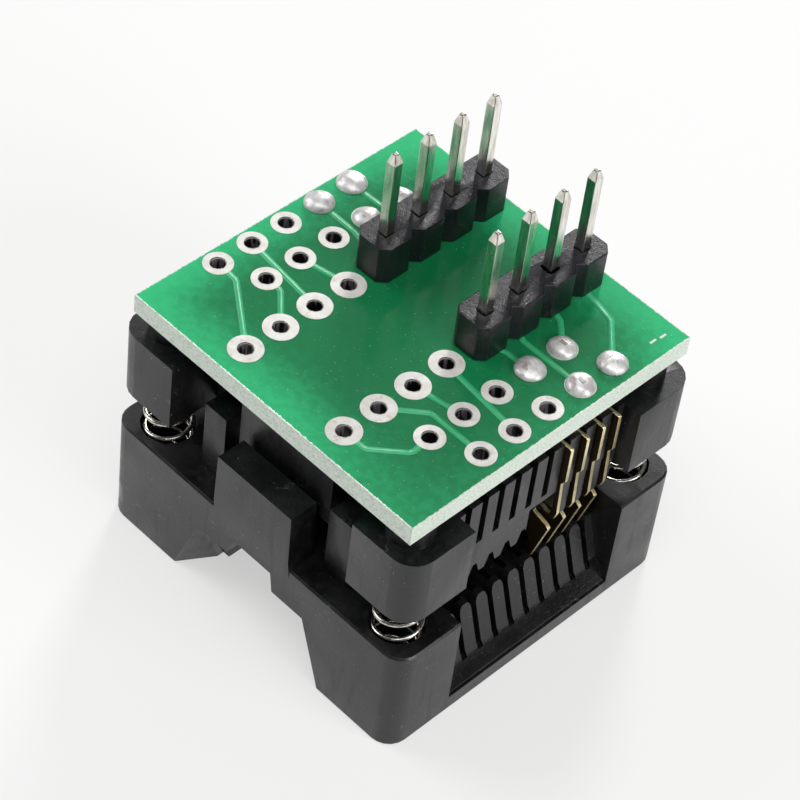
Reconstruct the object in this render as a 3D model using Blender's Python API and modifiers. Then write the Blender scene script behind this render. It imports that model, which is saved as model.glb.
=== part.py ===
"""A programming adapter for small flat chips, resting upside down with its plug pins up.

From the floor up: a spring-loaded cover with a comb of slots and a chip window, four corner springs,
the socket base with its bent spring contacts, a drilled board on four standoffs, and two rows of
square plug pins. Pressing the cover up against the base opens the contacts in the real product.
"""

import math

import bmesh
import bpy
from mathutils import Matrix, Vector

MM = 0.001

# Standard pitches
PIN_PITCH = 2.54 * MM
CONTACT_PITCH = 1.27 * MM
PINS_PER_HEADER = 4
HOLES_PER_ROW = 8
CONTACT_PLACES = 10
CONTACTS_PER_SIDE = 4

# Cover: the lower moulding, which slides
COVER_X = 23.5 * MM
COVER_Y = 22.2 * MM
COVER_HEIGHT = 7.7 * MM
COVER_CORNER_RADIUS = 1.3 * MM
COVER_EDGE_BEVEL = 0.12 * MM
COMB_DROP = 2.35 * MM
COMB_TIP_SETBACK = 2.03 * MM
COMB_KNEE_SETBACK = 1.1 * MM
COMB_KNEE_DROP = 2.92 * MM
COMB_FLOOR_DROP = 1.15 * MM
COMB_FLOOR_REACH = 9.3 * MM
RIM_HEIGHT = 1.1 * MM
RIM_THICKNESS = 0.2 * MM
SLOT_DEPTH = 3.3 * MM
TOOTH_TIP_RISE = 0.45 * MM
TOOTH_TIP_CUT = 0.28 * MM
WINDOW_X = 9.5 * MM
WINDOW_Y = 12.2 * MM
ARCH_FOOT_WIDTH = 12.1 * MM
ARCH_TOP_WIDTH = 8.64 * MM
ARCH_HEIGHT = 4.75 * MM
ARCH_INNER_WIDTH = 9.6 * MM
ARCH_FLARE_DEPTH = 2.7 * MM
PASSAGE_WIDTH = 8.5 * MM
PASSAGE_HEIGHT = 4.6 * MM
NOTCH_WIDTH = 3.7 * MM
NOTCH_TOP_WIDTH = 3.25 * MM
NOTCH_HEIGHT = 1.4 * MM
TONGUE_WIDTH = 6.1 * MM
TONGUE_TOP_WIDTH = 5.85 * MM
TONGUE_THICKNESS = 1.75 * MM
TONGUE_PROUD = 0.15 * MM
TONGUE_RISE = 4.3 * MM
TONGUE_SLOPE = 0.7 * MM
GUIDE_RISE = 5.0 * MM
POST_WIDTH_SHARE = 0.493
POST_DEPTH_SHARE = 0.552
POST_SIDE_GAP = 0.53 * MM
HOOK_REACH = 0.7 * MM
HOOK_HEIGHT = 0.6 * MM

# Base: the upper moulding, which the board is soldered to
BASE_INSET_X = 0.15 * MM
BASE_INSET_Y = 0.025 * MM
BASE_HEIGHT = 4.7 * MM
BLOCK_CORNER_RADIUS = 1.5 * MM
BLOCK_LENGTH = 4.55 * MM
BLOCK_CLEARANCE = 0.05 * MM
WALL_SETBACK = 1.2 * MM
MIDDLE_HALF_WIDTH = 3.6 * MM
GUIDE_NOTCH_STEP = 1.1 * MM
CORE_DROP = 1.5 * MM
TOOTH_DROP = 0.85 * MM
TOOTH_NOTCH_WIDTH = 0.84 * MM
TOOTH_NOTCH_DEPTH = 2.6 * MM
GROOVE_DEPTH = 1.2 * MM
GROOVE_FLOOR_RISE = 1.25 * MM
CHANNEL_DEPTH = 0.75 * MM
SPRING_ROOM_HEIGHT = 2.3 * MM
SPRING_ROOM_START = -0.4 * MM
PARTITION_THICKNESS = 0.6 * MM
SEAT_Y = 10.0 * MM
SEAT_DROP = 4.9 * MM
DRAFT = 0.03 * MM
STANDOFF_HEIGHT = 1.6 * MM
STANDOFF_DIAMETER = 2.7 * MM

# Fits
TRAVEL = 2.7 * MM
STROKE_CLEARANCE = 0.2 * MM
SIDE_CLEARANCE = 0.11 * MM
COMB_CLEARANCE = 0.07 * MM
SLIDE_CLEARANCE = 0.1 * MM
SEAT_GAP = 0.02 * MM
PIN_CLEARANCE = 0.03 * MM
CUT_OVERRUN = 1.0 * MM

# Springs
SPRING_SHARE = 0.631
SPRING_WIRE = 0.28 * MM
SPRING_TURNS = 10.5
SPRING_CLOSED_TURNS = 1.0
SPRING_SHIFT_Y = 0.25 * MM
POCKET_CLEARANCE = 0.15 * MM
COVER_POCKET_DEPTH = 5.2 * MM
BASE_POCKET_DEPTH = 3.3 * MM

# Contacts, each stamped from one strip. The two edges of the sprung end are drawn on a fine grid, as
# (steps in from the outer face, steps below the base).
CONTACT_THICKNESS = 0.25 * MM
CONTACT_STAND_OUT = 0.4 * MM
CONTACT_ARM_WIDTH = 0.42 * MM
CONTACT_TAIL_WIDTH = 0.44 * MM
CONTACT_TAIL_RISE = 0.5 * MM
CONTACT_LEG_DEPTH = 1.4 * MM
CONTACT_JOG_RISE = 1.85 * MM
CONTACT_JOG_HEIGHT = 0.35 * MM
CONTACT_JOG_DEPTH = 0.25 * MM
CONTACT_TIP_REACH = 7.7 * MM
CONTACT_GRID = 0.05 * MM
CURL_UNDER = ((3, 20), (6, 29), (12, 33), (18, 32), (26, 30), (32, 34), (35, 41))
LEVER = ((14, 48), (10, 52), (12, 59), (27, 112), (30, 114), (34, 112), (35, 84), (41, 66), (52, 61))
BLADE_UNDER = ((94, 88), (130, 105), (145, 111), (152, 111))
BLADE_TOP = ((154, 108), (154, 105), (147, 105), (132, 99), (96, 81), (56, 54), (45, 39))
CURL_TOP = ((37, 29), (29, 24), (24, 24), (18, 27), (13, 26), (11, 21), (11, -15))

# Board
BOARD_INSET_X = 0.85 * MM
BOARD_INSET_Y = 0.375 * MM
BOARD_SHIFT_X = 0.15 * MM
BOARD_SHIFT_Y = -0.12 * MM
BOARD_THICKNESS = 1.3 * MM
HEADER_ROW_X = 3.81 * MM
OUTER_PAD_SETBACK = 1.26 * MM
HOLE_DIAMETER = 0.95 * MM
HOLE_SEGMENTS = 12

# Plug pins and solder
HEADER_WIDTH = 2.5 * MM
HEADER_HEIGHT = 2.54 * MM
HEADER_CHAMFER = 0.5 * MM
PIN_WIDTH = 0.64 * MM
PIN_RISE = 8.3 * MM
PIN_TIP_LENGTH = 0.6 * MM
PIN_TIP_WIDTH = 0.3 * MM
PIN_TAIL_GAP = 0.3 * MM
JOINT_DIAMETER = 1.75 * MM
JOINT_HEIGHT = 0.45 * MM
PIN_JOINT_HEIGHT = 0.8 * MM

# Levels, all worked out from the sizes above
BASE_BOTTOM = COVER_HEIGHT + TRAVEL + STROKE_CLEARANCE
BASE_TOP = BASE_BOTTOM + BASE_HEIGHT
BOARD_BOTTOM = BASE_TOP + STANDOFF_HEIGHT
BOARD_TOP = BOARD_BOTTOM + BOARD_THICKNESS
CORE_BOTTOM = BASE_BOTTOM - CORE_DROP
SPRING_ROOM_TOP = CORE_BOTTOM + SPRING_ROOM_HEIGHT
COMB_HEIGHT = COVER_HEIGHT - COMB_DROP
SLOT_FLOOR = COMB_HEIGHT - SLOT_DEPTH
SEAT_LEVEL = BASE_BOTTOM - SEAT_DROP
GUIDE_TOP = COVER_HEIGHT + GUIDE_RISE
TONGUE_TOP = COVER_HEIGHT + TONGUE_RISE
GROOVE_FLOOR = BASE_BOTTOM + GROOVE_FLOOR_RISE
CHANNEL_FLOOR = BASE_TOP - CHANNEL_DEPTH

# Widths and places, worked out in the same way
SLOT_WIDTH = CONTACT_THICKNESS + 2 * SIDE_CLEARANCE
COMB_SLOT_WIDTH = CONTACT_THICKNESS + 2 * COMB_CLEARANCE
CONTACT_FIELD = CONTACT_PLACES * CONTACT_PITCH
RECESS_HALF = CONTACT_FIELD / 2 + SLIDE_CLEARANCE
CORE_HALF_Y = RECESS_HALF - SLIDE_CLEARANCE
BASE_X = COVER_X - 2 * BASE_INSET_X
BASE_Y = COVER_Y - 2 * BASE_INSET_Y
WALL_X = BASE_X / 2 - WALL_SETBACK
COMB_TIP_X = COVER_X / 2 - COMB_TIP_SETBACK
BLOCK_INNER_X = BASE_X / 2 - BLOCK_LENGTH
BLOCK_INNER_Y = CORE_HALF_Y + BLOCK_CLEARANCE
SPRING_X = (BLOCK_INNER_X + BASE_X / 2) / 2
SPRING_Y = (BLOCK_INNER_Y + BASE_Y / 2) / 2 + SPRING_SHIFT_Y
SPRING_DIAMETER = SPRING_SHARE * (BASE_Y / 2 - BLOCK_INNER_Y)
POCKET_DIAMETER = SPRING_DIAMETER + 2 * POCKET_CLEARANCE
GUIDE_NOTCH_FLOOR = CORE_HALF_Y + GUIDE_NOTCH_STEP
POST_INNER_X = MIDDLE_HALF_WIDTH + POST_SIDE_GAP
POST_INNER_Y = GUIDE_NOTCH_FLOOR + 3 * SLIDE_CLEARANCE
POST_WIDTH = POST_WIDTH_SHARE * (BLOCK_INNER_X - MIDDLE_HALF_WIDTH)
POST_DEPTH = POST_DEPTH_SHARE * (COVER_Y / 2 - POST_INNER_Y)
CONTACT_REACH = WALL_X + CONTACT_STAND_OUT
SEAT_X = 2 * (CONTACT_REACH - CONTACT_TIP_REACH - SLIDE_CLEARANCE)
OUTER_PAD_X = CONTACT_REACH - OUTER_PAD_SETBACK
INNER_PAD_X = OUTER_PAD_X - PIN_PITCH
BOARD_X = BASE_X - 2 * BOARD_INSET_X
BOARD_Y = BASE_Y - 2 * BOARD_INSET_Y

BLACK_PLASTIC = ("black_moulded_plastic", (0.020, 0.020, 0.022), 0.42, 0.0)
BOARD_GREEN = ("green_board_lacquer", (0.010, 0.235, 0.085), 0.30, 0.0)
HEADER_BLACK = ("black_header_plastic", (0.016, 0.016, 0.018), 0.50, 0.0)
GOLD = ("gold_plated_strip", (0.83, 0.62, 0.28), 0.25, 1.0)
TIN = ("tinned_pin", (0.74, 0.72, 0.68), 0.28, 1.0)
SOLDER = ("solder", (0.80, 0.80, 0.80), 0.30, 1.0)
SPRING_STEEL = ("spring_wire", (0.66, 0.63, 0.56), 0.25, 1.0)


def clear_scene():
    for obj in list(bpy.data.objects):
        bpy.data.objects.remove(obj, do_unlink=True)


def new_collection(name):
    collection = bpy.data.collections.new(name)
    bpy.context.scene.collection.children.link(collection)
    return collection


def plain_material(finish):
    name, colour, roughness, metallic = finish
    material = bpy.data.materials.get(name) or bpy.data.materials.new(name)
    material.use_nodes = True
    shader = material.node_tree.nodes["Principled BSDF"]
    shader.inputs["Base Color"].default_value = (*colour, 1.0)
    shader.inputs["Roughness"].default_value = roughness
    shader.inputs["Metallic"].default_value = metallic
    return material


def from_bmesh(name, shape):
    bmesh.ops.recalc_face_normals(shape, faces=shape.faces)
    mesh = bpy.data.meshes.new(name)
    shape.to_mesh(mesh)
    shape.free()
    return bpy.data.objects.new(name, mesh)


def box(name, low, high):
    """A box between two opposite corners."""
    shape = bmesh.new()
    bmesh.ops.create_cube(shape, size=1.0)
    low, high = Vector(low), Vector(high)
    bmesh.ops.scale(shape, vec=high - low, verts=shape.verts)
    bmesh.ops.translate(shape, vec=(low + high) / 2, verts=shape.verts)
    return from_bmesh(name, shape)


def loft(name, sections):
    """A solid through four-cornered sections, each given as (y, half width low, half width high, low, high)."""
    shape = bmesh.new()
    rings = []
    for y, half_low, half_high, low, high in sections:
        corners = ((-half_low, low), (half_low, low), (half_high, high), (-half_high, high))
        rings.append([shape.verts.new((x, y, z)) for x, z in corners])
    for near, far in zip(rings, rings[1:]):
        for i in range(4):
            shape.faces.new((near[i], near[(i + 1) % 4], far[(i + 1) % 4], far[i]))
    shape.faces.new(rings[0])
    shape.faces.new(rings[-1])
    bmesh.ops.triangulate(shape, faces=shape.faces)
    return from_bmesh(name, shape)


def cylinder(name, diameter, centre, low, high, segments=16):
    """An upright cylinder."""
    shape = bmesh.new()
    bmesh.ops.create_cone(
        shape,
        cap_ends=True,
        segments=segments,
        radius1=diameter / 2,
        radius2=diameter / 2,
        depth=high - low,
    )
    bmesh.ops.translate(shape, vec=(centre[0], centre[1], (low + high) / 2), verts=shape.verts)
    return from_bmesh(name, shape)


ALONG = {
    "X": Matrix(((0, 0, 1, 0), (1, 0, 0, 0), (0, 1, 0, 0), (0, 0, 0, 1))),
    "Y": Matrix(((1, 0, 0, 0), (0, 0, -1, 0), (0, 1, 0, 0), (0, 0, 0, 1))),
    "Z": Matrix.Identity(4),
}


def prism(name, outline, low, high, along="Z"):
    """A flat outline, drawn as a filled curve and extruded between two levels along one axis."""
    curve = bpy.data.curves.new(name, "CURVE")
    curve.dimensions = "2D"
    curve.fill_mode = "BOTH"
    curve.extrude = (high - low) / 2
    spline = curve.splines.new("POLY")
    spline.points.add(len(outline) - 1)
    for point, (u, v) in zip(spline.points, outline):
        point.co = (u, v, 0, 1)
    spline.use_cyclic_u = True
    sketch = bpy.data.objects.new(name, curve)
    bpy.context.scene.collection.objects.link(sketch)
    bpy.context.view_layer.update()
    mesh = bpy.data.meshes.new_from_object(sketch.evaluated_get(bpy.context.evaluated_depsgraph_get()))
    bpy.data.objects.remove(sketch)
    shape = bmesh.new()
    shape.from_mesh(mesh)
    bpy.data.meshes.remove(mesh)
    bmesh.ops.remove_doubles(shape, verts=shape.verts, dist=0.001 * MM)
    bmesh.ops.dissolve_limit(shape, angle_limit=math.radians(0.1), verts=shape.verts, edges=shape.edges)
    middle = {"X": ((low + high) / 2, 0, 0), "Y": (0, (low + high) / 2, 0), "Z": (0, 0, (low + high) / 2)}
    bmesh.ops.transform(shape, matrix=Matrix.Translation(middle[along]) @ ALONG[along], verts=shape.verts)
    return from_bmesh(name, shape)


def turned(name, profile, steps):
    """A profile of (radius, level) pairs, given down its outer side and turned about Z."""
    mesh = bpy.data.meshes.new(name)
    points = [(radius, 0, level) for radius, level in profile]
    mesh.from_pydata(points, [(i, i + 1) for i in range(len(points) - 1)], [])
    obj = bpy.data.objects.new(name, mesh)
    screw = obj.modifiers.new("turn", "SCREW")
    screw.steps = screw.render_steps = steps
    screw.use_merge_vertices = True
    screw.merge_threshold = 0.001 * MM
    return obj


def arc(centre, radius, start, end, steps):
    """Points on an arc, with angles in degrees."""
    angles = [math.radians(start + (end - start) * i / steps) for i in range(steps + 1)]
    return [(centre[0] + radius * math.cos(a), centre[1] + radius * math.sin(a)) for a in angles]


def rounded_rectangle(half_x, half_y, radius, steps=5):
    outline = []
    for quarter, (sx, sy) in enumerate(((1, 1), (-1, 1), (-1, -1), (1, -1))):
        centre = (sx * (half_x - radius), sy * (half_y - radius))
        outline += arc(centre, radius, 90 * quarter, 90 * quarter + 90, steps)
    return outline


def merged(name, objects):
    """Several separate shapes as one mesh, used as one cutter."""
    shape = bmesh.new()
    for obj in objects:
        shape.from_mesh(obj.data)
        bpy.data.objects.remove(obj)
    return from_bmesh(name, shape)


def boolean(obj, helpers, other, operation):
    helpers.objects.link(other)
    other.hide_render = True
    other.display_type = "WIRE"
    modifier = obj.modifiers.new(other.name, "BOOLEAN")
    modifier.operation = operation
    modifier.object = other


def cut(obj, helpers, other):
    boolean(obj, helpers, other, "DIFFERENCE")


def join(obj, helpers, other):
    boolean(obj, helpers, other, "UNION")


def finish(obj, collection, finish_values, parent, smooth=False):
    collection.objects.link(obj)
    obj.data.materials.append(plain_material(finish_values))
    obj.parent = parent
    if smooth and obj.type == "MESH":
        obj.data.shade_smooth()
    return obj


def contact_y(place):
    """Where contact place 0, 1, ... lies along the comb."""
    return (place - (CONTACT_PLACES - 1) / 2) * CONTACT_PITCH


def tail_x(side, place):
    """Tails leave the base in two staggered rows, and the pattern is turned half round on the far side."""
    inner = (place % 2 == 0) == (side > 0)
    return side * (INNER_PAD_X if inner else OUTER_PAD_X)


def header_y(place):
    return (place - (HOLES_PER_ROW - 1) / 2) * PIN_PITCH


FITTED_PLACES = range(CONTACT_PLACES - CONTACTS_PER_SIDE, CONTACT_PLACES)
PINNED_PLACES = range(HOLES_PER_ROW - PINS_PER_HEADER, HOLES_PER_ROW)
SIDES = (("left", -1), ("right", 1))
CORNERS = tuple((sx, sy) for sy in (-1, 1) for sx in (-1, 1))


def at_every_place(name, low_x, high_x, low_z, high_z, width):
    """One box at each contact place of both sides, between two distances from the middle."""
    boxes = []
    for _, side in SIDES:
        near, far = sorted((side * low_x, side * high_x))
        for place in range(CONTACT_PLACES):
            y = contact_y(place)
            boxes.append(box(name, (near, y - width / 2, low_z), (far, y + width / 2, high_z)))
    return merged(name, boxes)


def cover_slope(name):
    """What the comb's outer faces leave free, steep at the teeth and flatter down to the rim."""
    outside = COVER_X / 2 + CUT_OVERRUN
    above = COMB_HEIGHT + CUT_OVERRUN
    wedges = []
    for _, side in SIDES:
        outline = [
            (side * COMB_TIP_X, above),
            (side * COMB_TIP_X, COMB_HEIGHT),
            (side * (COVER_X / 2 - COMB_KNEE_SETBACK), COMB_HEIGHT - COMB_KNEE_DROP),
            (side * (COVER_X / 2 - RIM_THICKNESS), RIM_HEIGHT),
            (side * outside, RIM_HEIGHT),
            (side * outside, above),
        ]
        wedges.append(prism(name, outline, -RECESS_HALF, RECESS_HALF, along="Y"))
    return merged(name, wedges)


def comb_slots(name):
    """The slots between the teeth, which open out at the top and so round the tips."""
    slots = []
    half = COMB_SLOT_WIDTH / 2
    above = COMB_HEIGHT + CUT_OVERRUN
    for _, side in SIDES:
        low_x, high_x = sorted((side * (WINDOW_X / 2 - CUT_OVERRUN), side * (COVER_X / 2 + CUT_OVERRUN)))
        for place in range(CONTACT_PLACES):
            y = contact_y(place)
            right = [
                (half, SLOT_FLOOR),
                (half, COMB_HEIGHT - TOOTH_TIP_RISE),
                (half + TOOTH_TIP_CUT / 3, COMB_HEIGHT - TOOTH_TIP_RISE / 3),
                (half + TOOTH_TIP_CUT, COMB_HEIGHT + DRAFT),
                (half + TOOTH_TIP_CUT, above),
            ]
            outline = [(y + u, z) for u, z in right] + [(y - u, z) for u, z in reversed(right)]
            slots.append(prism(name, outline, low_x, high_x, along="X"))
    return merged(name, slots)


def comb_floor(name):
    """What lowers the comb behind its tips, on both sides of the chip window."""
    half_y = RECESS_HALF + DRAFT
    start = (PASSAGE_WIDTH + WINDOW_X) / 4
    rooms = []
    for _, side in SIDES:
        low_x, high_x = sorted((side * start, side * COMB_FLOOR_REACH))
        low, high = COMB_HEIGHT - COMB_FLOOR_DROP, COVER_HEIGHT + CUT_OVERRUN
        rooms.append(box(name, (low_x, -half_y, low), (high_x, half_y, high)))
    return merged(name, rooms)


def tongue(name, sy):
    """A guide tongue, whose outer face stands a little proud and slopes back into the cover below."""
    face = COVER_Y / 2
    low, foot, top = COVER_HEIGHT - CUT_OVERRUN, TONGUE_WIDTH / 2, TONGUE_TOP_WIDTH / 2
    proud = COVER_HEIGHT + TONGUE_SLOPE
    shoulder = foot + (top - foot) * (proud - low) / (TONGUE_TOP - low)
    return loft(
        name,
        [
            (sy * (face - TONGUE_THICKNESS), foot, top, low, TONGUE_TOP),
            (sy * (face - DRAFT), foot, top, low, TONGUE_TOP),
            (sy * (face + TONGUE_PROUD), shoulder, top, proud, TONGUE_TOP),
        ],
    )


def arch_mouth(name, sy):
    """One finger arch: a trapezoid on the outer face, narrowing inwards. It runs past both surfaces."""
    foot, top, inner = ARCH_FOOT_WIDTH / 2, ARCH_TOP_WIDTH / 2, ARCH_INNER_WIDTH / 2
    below = -CUT_OVERRUN
    foot += (foot - top) * CUT_OVERRUN / ARCH_HEIGHT
    face = COVER_Y / 2
    return loft(
        name,
        [
            (sy * (face - ARCH_FLARE_DEPTH), inner, top, below, ARCH_HEIGHT),
            (sy * face, foot, top, below, ARCH_HEIGHT),
            (sy * (face + CUT_OVERRUN), foot, top, below, ARCH_HEIGHT),
        ],
    )


def guide_post(name, sx, sy):
    """A post with a hooked nose, which keeps the cover on the base."""
    outer_y = POST_INNER_Y + POST_DEPTH
    outline = [
        (sy * outer_y, COVER_HEIGHT - CUT_OVERRUN),
        (sy * outer_y, GUIDE_TOP),
        (sy * (POST_INNER_Y - HOOK_REACH / 2), GUIDE_TOP),
        (sy * (POST_INNER_Y - HOOK_REACH), GUIDE_TOP - HOOK_HEIGHT / 2),
        (sy * (POST_INNER_Y - HOOK_REACH), GUIDE_TOP - HOOK_HEIGHT),
        (sy * POST_INNER_Y, GUIDE_TOP - HOOK_HEIGHT),
        (sy * POST_INNER_Y, COVER_HEIGHT - CUT_OVERRUN),
    ]
    low, high = sorted((sx * POST_INNER_X, sx * (POST_INNER_X + POST_WIDTH)))
    return prism(name, outline, low, high, along="X")


def make_cover(parts, helpers, parent):
    cover = prism(
        "cover", rounded_rectangle(COVER_X / 2, COVER_Y / 2, COVER_CORNER_RADIUS), 0, COVER_HEIGHT
    )
    edge = cover.modifiers.new("soft_edges", "BEVEL")
    edge.width = COVER_EDGE_BEVEL
    edge.segments = 1
    edge.limit_method = "ANGLE"
    edge.angle_limit = math.radians(60)
    face = COVER_Y / 2
    for name, sy in (("front", -1), ("back", 1)):
        join(cover, helpers, tongue("tongue_" + name, sy))
    for sx, sy in CORNERS:
        join(cover, helpers, guide_post(f"post_{sx}_{sy}", sx, sy))
    side_reach = COVER_X / 2 + CUT_OVERRUN
    cut(
        cover,
        helpers,
        box(
            "cover_well",
            (-side_reach, -RECESS_HALF, COMB_HEIGHT),
            (side_reach, RECESS_HALF, COVER_HEIGHT + CUT_OVERRUN),
        ),
    )
    cut(cover, helpers, cover_slope("comb_slopes"))
    cut(cover, helpers, comb_slots("comb_slots"))
    cut(cover, helpers, comb_floor("comb_floor"))
    cut(
        cover,
        helpers,
        box(
            "chip_window",
            (-WINDOW_X / 2, -WINDOW_Y / 2, -CUT_OVERRUN),
            (WINDOW_X / 2, WINDOW_Y / 2, COVER_HEIGHT + CUT_OVERRUN),
        ),
    )
    cut(
        cover,
        helpers,
        box(
            "chip_passage",
            (-PASSAGE_WIDTH / 2, -face - CUT_OVERRUN, -CUT_OVERRUN),
            (PASSAGE_WIDTH / 2, face + CUT_OVERRUN, PASSAGE_HEIGHT),
        ),
    )
    cut(cover, helpers, arch_mouth("arch_front", -1))
    cut(cover, helpers, arch_mouth("arch_back", 1))
    notch_top = ARCH_HEIGHT + NOTCH_HEIGHT
    cut(
        cover,
        helpers,
        prism(
            "arch_notch",
            [
                (-NOTCH_WIDTH / 2, ARCH_HEIGHT - NOTCH_HEIGHT),
                (NOTCH_WIDTH / 2, ARCH_HEIGHT - NOTCH_HEIGHT),
                (NOTCH_WIDTH / 2, ARCH_HEIGHT),
                (NOTCH_TOP_WIDTH / 2, notch_top),
                (-NOTCH_TOP_WIDTH / 2, notch_top),
                (-NOTCH_WIDTH / 2, ARCH_HEIGHT),
            ],
            -face - CUT_OVERRUN,
            face + CUT_OVERRUN,
            along="Y",
        ),
    )
    pockets = [
        cylinder(
            "pocket",
            POCKET_DIAMETER,
            (sx * SPRING_X, sy * SPRING_Y),
            COVER_HEIGHT - COVER_POCKET_DEPTH,
            COVER_HEIGHT + CUT_OVERRUN,
        )
        for sx, sy in CORNERS
    ]
    cut(cover, helpers, merged("cover_pockets", pockets))
    return finish(cover, parts, BLACK_PLASTIC, parent)


def base_outline():
    """The base seen from above: a middle, four corner blocks, and notches for the cover's guides."""
    quarter = [
        (WALL_X, BLOCK_INNER_Y),
        (BASE_X / 2, BLOCK_INNER_Y + DRAFT),
        *arc(
            (BASE_X / 2 - BLOCK_CORNER_RADIUS, BASE_Y / 2 - BLOCK_CORNER_RADIUS),
            BLOCK_CORNER_RADIUS,
            0,
            90,
            5,
        ),
        (BLOCK_INNER_X + DRAFT, BASE_Y / 2),
        (BLOCK_INNER_X, GUIDE_NOTCH_FLOOR),
        (MIDDLE_HALF_WIDTH + DRAFT, GUIDE_NOTCH_FLOOR + DRAFT),
        (MIDDLE_HALF_WIDTH, BASE_Y / 2 - TONGUE_THICKNESS - 3 * SLIDE_CLEARANCE),
    ]
    outline = list(quarter)
    outline += [(-x, y) for x, y in reversed(quarter)]
    outline += [(-x, -y) for x, y in quarter]
    outline += [(x, -y) for x, y in reversed(quarter)]
    return outline


def tooth_notches(name):
    """V notches in the lower edge of the side walls, which leave a row of tooth tips."""
    notches = []
    half = TOOTH_NOTCH_WIDTH / 2
    for _, side in SIDES:
        low_x, high_x = sorted((side * (WALL_X - TOOTH_NOTCH_DEPTH), side * (WALL_X + CUT_OVERRUN)))
        for place in range(CONTACT_PLACES):
            y = contact_y(place)
            outline = [
                (y - half, CORE_BOTTOM - CUT_OVERRUN),
                (y + half, CORE_BOTTOM - CUT_OVERRUN),
                (y + half, CORE_BOTTOM),
                (y + half / 3, CORE_BOTTOM + TOOTH_DROP),
                (y - half / 3, CORE_BOTTOM + TOOTH_DROP),
                (y - half, CORE_BOTTOM),
            ]
            notches.append(prism(name, outline, low_x, high_x, along="X"))
    return merged(name, notches)


def spring_rooms(name):
    """Open rooms in the lower side walls for the contacts' springs, with thin partitions between them."""
    first = contact_y(FITTED_PLACES[0])
    walls = [first + (i + 0.5) * CONTACT_PITCH for i in range(CONTACTS_PER_SIDE - 1)]
    half = PARTITION_THICKNESS / 2
    starts = [SPRING_ROOM_START] + [y + half for y in walls]
    ends = [y - half for y in walls] + [CORE_HALF_Y - half]
    rooms = []
    for _, side in SIDES:
        low_x, high_x = sorted((side * (WALL_X - TOOTH_NOTCH_DEPTH - DRAFT), side * (WALL_X + CUT_OVERRUN)))
        for start, end in zip(starts, ends):
            rooms.append(box(name, (low_x, start, CORE_BOTTOM - CUT_OVERRUN), (high_x, end, SPRING_ROOM_TOP)))
    return merged(name, rooms)


def leg_slots(name):
    """What lets each contact's leg down from its groove into its spring room."""
    slots = []
    half = SLOT_WIDTH / 2 - DRAFT
    for _, side in SIDES:
        low_x, high_x = sorted((side * (WALL_X - GROOVE_DEPTH + DRAFT), side * (WALL_X + CUT_OVERRUN)))
        for place in FITTED_PLACES:
            y = contact_y(place)
            low, high = SPRING_ROOM_TOP - 2 * DRAFT, GROOVE_FLOOR + 2 * DRAFT
            slots.append(box(name, (low_x, y - half, low), (high_x, y + half, high)))
    return merged(name, slots)


def make_base(parts, helpers, parent):
    base = prism("socket_base", base_outline(), BASE_BOTTOM, BASE_TOP)
    core_overlap = BASE_BOTTOM + CUT_OVERRUN
    join(
        base,
        helpers,
        box("core", (-WALL_X, -CORE_HALF_Y, CORE_BOTTOM), (WALL_X, CORE_HALF_Y, core_overlap)),
    )
    join(
        base,
        helpers,
        box("chip_seat", (-SEAT_X / 2, -SEAT_Y / 2, SEAT_LEVEL), (SEAT_X / 2, SEAT_Y / 2, core_overlap)),
    )
    for sx, sy in CORNERS:
        centre = (sx * SPRING_X, sy * SPRING_Y)
        join(
            base,
            helpers,
            cylinder(
                f"standoff_{sx}_{sy}",
                STANDOFF_DIAMETER,
                centre,
                BASE_TOP - CHANNEL_DEPTH,
                BOARD_BOTTOM - SEAT_GAP,
            ),
        )
    outside = WALL_X + CUT_OVERRUN
    cut(
        base,
        helpers,
        at_every_place(
            "contact_grooves", WALL_X - GROOVE_DEPTH, outside, GROOVE_FLOOR, BOARD_BOTTOM, SLOT_WIDTH
        ),
    )
    channel_start = INNER_PAD_X - CONTACT_TAIL_WIDTH
    cut(
        base,
        helpers,
        at_every_place(
            "contact_channels",
            channel_start,
            WALL_X - GROOVE_DEPTH / 2,
            CHANNEL_FLOOR,
            BOARD_BOTTOM,
            SLOT_WIDTH,
        ),
    )
    cut(base, helpers, tooth_notches("tooth_notches"))
    cut(base, helpers, spring_rooms("spring_rooms"))
    cut(base, helpers, leg_slots("leg_slots"))
    pockets = [
        cylinder(
            "pocket",
            POCKET_DIAMETER,
            (sx * SPRING_X, sy * SPRING_Y),
            BASE_BOTTOM - CUT_OVERRUN,
            BASE_BOTTOM + BASE_POCKET_DEPTH,
        )
        for sx, sy in CORNERS
    ]
    cut(base, helpers, merged("base_pockets", pockets))
    hook_rooms = []
    for sx, sy in CORNERS:
        low_x, high_x = sorted(
            (sx * (POST_INNER_X - 2 * SLIDE_CLEARANCE), sx * (POST_INNER_X + POST_WIDTH + 2 * SLIDE_CLEARANCE))
        )
        low_y, high_y = sorted(
            (
                sy * (POST_INNER_Y - HOOK_REACH - 2 * SLIDE_CLEARANCE),
                sy * (GUIDE_NOTCH_FLOOR + CUT_OVERRUN),
            )
        )
        floor = GUIDE_TOP - HOOK_HEIGHT - SLIDE_CLEARANCE
        ceiling = GUIDE_TOP + TRAVEL + SLIDE_CLEARANCE
        hook_rooms.append(box("hook_room", (low_x, low_y, floor), (high_x, high_y, ceiling)))
    cut(base, helpers, merged("hook_rooms", hook_rooms))
    return finish(base, parts, BLACK_PLASTIC, parent)


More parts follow.
